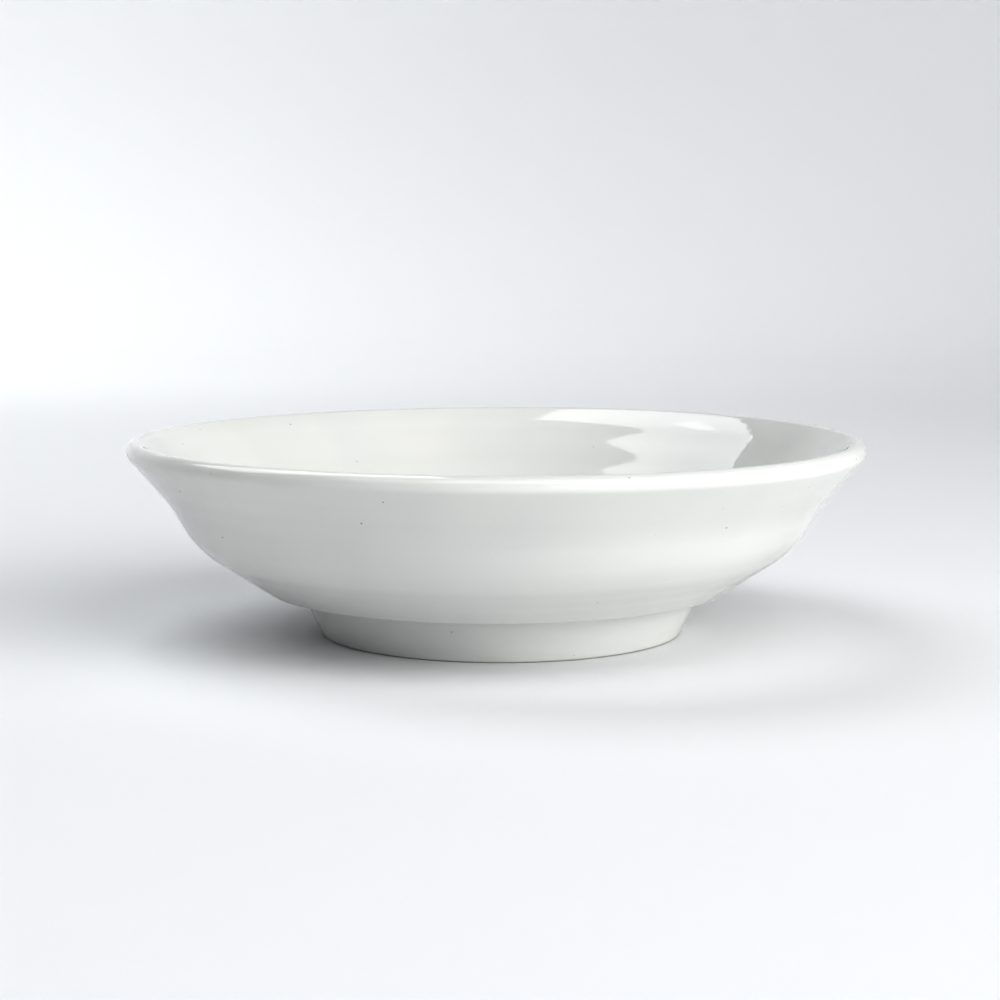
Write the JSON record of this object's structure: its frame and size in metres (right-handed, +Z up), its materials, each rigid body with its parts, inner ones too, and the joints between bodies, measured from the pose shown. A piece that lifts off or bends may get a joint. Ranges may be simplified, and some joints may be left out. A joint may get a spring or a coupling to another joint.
{
  "type": "soy sauce dish",
  "caption": "Shallow round sauce dish with a flared wall, rounded lip and inset foot ring, in white glazed ceramic.",
  "frame": {"origin": "on the table under the dish, on the axis that it was turned about", "axes": "+Z up along the turning axis, out of the open bowl; the dish is round, so +X and +Y are any two level directions"},
  "size_m": [0.1, 0.1, 0.0267],
  "materials": {
    "glaze": "gloss",
    "clay": "matte"
  },
  "bodies": {
    "root": {"bowl": "glaze", "foot_ring": "glaze", "slip_joint": "clay"}
  },
  "joints": []
}
